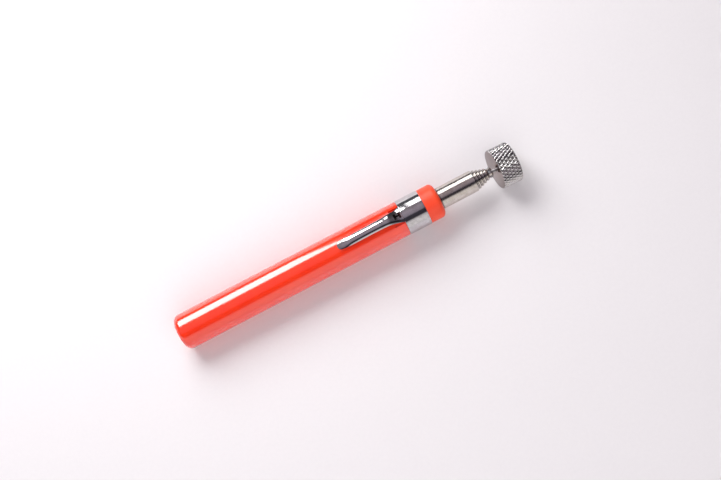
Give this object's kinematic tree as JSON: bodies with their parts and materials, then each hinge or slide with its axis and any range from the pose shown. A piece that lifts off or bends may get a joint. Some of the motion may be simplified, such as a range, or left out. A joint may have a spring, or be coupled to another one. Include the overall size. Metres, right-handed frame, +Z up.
{
  "type": "telescopic magnetic pick-up tool",
  "caption": "Pen-style telescopic magnetic pick-up tool: plastic handle with a pocket clip, nested steel tubes and a knurled magnet head on a tilting, turning tip.",
  "frame": {"origin": "under the middle of the closed tool, on the surface that it lies on", "axes": "+X from the butt towards the magnet head, +Z up through the pocket clip, +Y to the left"},
  "size_m": [0.178, 0.02, 0.0213],
  "materials": {
    "barrel_plastic": "glossy moulded orange-red",
    "nose_plastic": "glossy moulded orange-red, a little lighter",
    "inner_plastic": "matt moulded black",
    "clip_chrome": "bright chrome on pressed sheet steel",
    "tube_steel": "polished drawn stainless steel",
    "sleeve_brass": "plain brass",
    "zinc_steel": "bright zinc plate",
    "head_chrome": "chrome on knurled steel",
    "magnet_nickel": "nickel plate"
  },
  "bodies": {
    "handle": {"handle_barrel": "barrel_plastic", "nose_bush": "nose_plastic", "tube_seat": "inner_plastic", "clip_band": "clip_chrome", "outer_tube": "tube_steel"},
    "clip": {"clip_arm": "clip_chrome"},
    "section_1": {"sliding_tube_1": "tube_steel", "friction_sleeve_1": "sleeve_brass"},
    "section_2": {"sliding_tube_2": "tube_steel", "friction_sleeve_2": "sleeve_brass"},
    "section_3": {"sliding_tube_3": "tube_steel", "friction_sleeve_3": "sleeve_brass"},
    "section_4": {"sliding_tube_4": "tube_steel", "friction_sleeve_4": "sleeve_brass"},
    "section_5": {"sliding_tube_5": "tube_steel", "friction_sleeve_5": "sleeve_brass"},
    "tip": {"tip_fork": "tube_steel", "pivot_rivet": "zinc_steel"},
    "head": {"head_stem": "zinc_steel", "knurled_head": "head_chrome", "backing_plate": "zinc_steel", "magnet_spacer": "sleeve_brass", "magnet": "magnet_nickel"}
  },
  "joints": [
    {"name": "clip_flex", "type": "hinge", "parent": "handle", "child": "clip", "pos_m": [0.0281, 0, 0.01946], "axis": [0, 1, 0], "range_deg": [0, 5], "stiffness_Nm_per_rad": 3.6},
    {"name": "slide_1", "type": "slide", "parent": "handle", "child": "section_1", "axis": [0.9999, 0, 0.0138], "range_m": [0, 0.095]},
    {"name": "slide_2", "type": "slide", "parent": "section_1", "child": "section_2", "axis": [0.9999, 0, 0.0138], "range_m": [0, 0.095]},
    {"name": "slide_3", "type": "slide", "parent": "section_2", "child": "section_3", "axis": [0.9999, 0, 0.0138], "range_m": [0, 0.095]},
    {"name": "slide_4", "type": "slide", "parent": "section_3", "child": "section_4", "axis": [0.9999, 0, 0.0138], "range_m": [0, 0.095]},
    {"name": "slide_5", "type": "slide", "parent": "section_4", "child": "section_5", "axis": [0.9999, 0, 0.0138], "range_m": [0, 0.095]},
    {"name": "head_spin", "type": "hinge", "parent": "section_5", "child": "tip", "pos_m": [0.07102, 0, 0.01101], "axis": [0.9999, 0, 0.0138], "continuous": true},
    {"name": "head_tilt", "type": "hinge", "parent": "tip", "child": "head", "pos_m": [0.07552, 0, 0.01107], "axis": [0, 1, 0], "range_deg": [-76, 64]}
  ]
}
